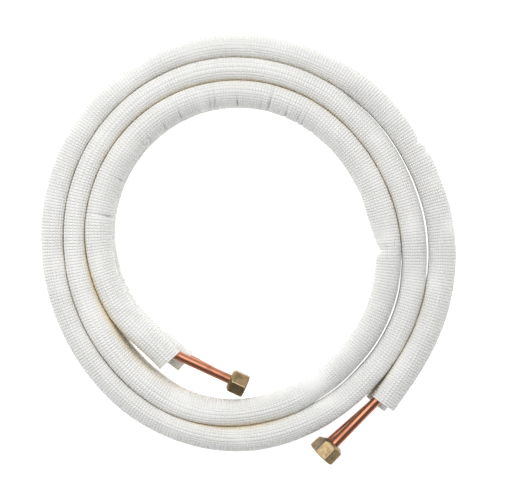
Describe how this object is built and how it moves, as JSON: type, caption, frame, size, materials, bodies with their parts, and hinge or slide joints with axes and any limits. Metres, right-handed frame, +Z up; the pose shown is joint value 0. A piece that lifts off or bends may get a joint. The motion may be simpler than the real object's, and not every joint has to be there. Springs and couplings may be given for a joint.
{
  "type": "mini split line set",
  "caption": "Twin copper line set for a split air conditioner, foam jacketed, wound in one flat coil with brass flare nuts.",
  "frame": {"origin": "under the middle of the coil's bounding box, on the floor that it lies on", "axes": "+Z up through the coil's eye, the outer end's stubs at the -Y side"},
  "size_m": [0.4168, 0.4292, 0.0482],
  "materials": {
    "foam_jacket": "white polyethylene foam with a net-embossed skin",
    "copper_tube": "bright drawn copper",
    "brass_nut": "forged and turned brass"
  },
  "bodies": {
    "coil": {"suction_insulation": "foam_jacket", "liquid_insulation": "foam_jacket", "suction_copper_tube": "copper_tube", "liquid_copper_tube": "copper_tube"},
    "suction_flare_nut_inner": {"suction_flare_nut_inner": "brass_nut"},
    "suction_flare_nut_outer": {"suction_flare_nut_outer": "brass_nut"},
    "liquid_flare_nut_inner": {"liquid_flare_nut_inner": "brass_nut"},
    "liquid_flare_nut_outer": {"liquid_flare_nut_outer": "brass_nut"}
  },
  "joints": [
    {"name": "suction_nut_inner_spin", "type": "hinge", "parent": "coil", "child": "suction_flare_nut_inner", "pos_m": [-0.00291, -0.13707, 0.03541], "axis": [0.9084, -0.4182, 0], "continuous": true},
    {"name": "suction_nut_outer_spin", "type": "hinge", "parent": "coil", "child": "suction_flare_nut_outer", "pos_m": [0.07301, -0.20717, 0.03541], "axis": [-0.695, -0.719, 0], "continuous": true},
    {"name": "liquid_nut_inner_spin", "type": "hinge", "parent": "coil", "child": "liquid_flare_nut_inner", "pos_m": [-0.00374, -0.13995, 0.01117], "axis": [0.8825, -0.4704, 0], "continuous": true},
    {"name": "liquid_nut_outer_spin", "type": "hinge", "parent": "coil", "child": "liquid_flare_nut_outer", "pos_m": [0.06878, -0.2061, 0.01117], "axis": [-0.7499, -0.6615, 0], "continuous": true}
  ]
}
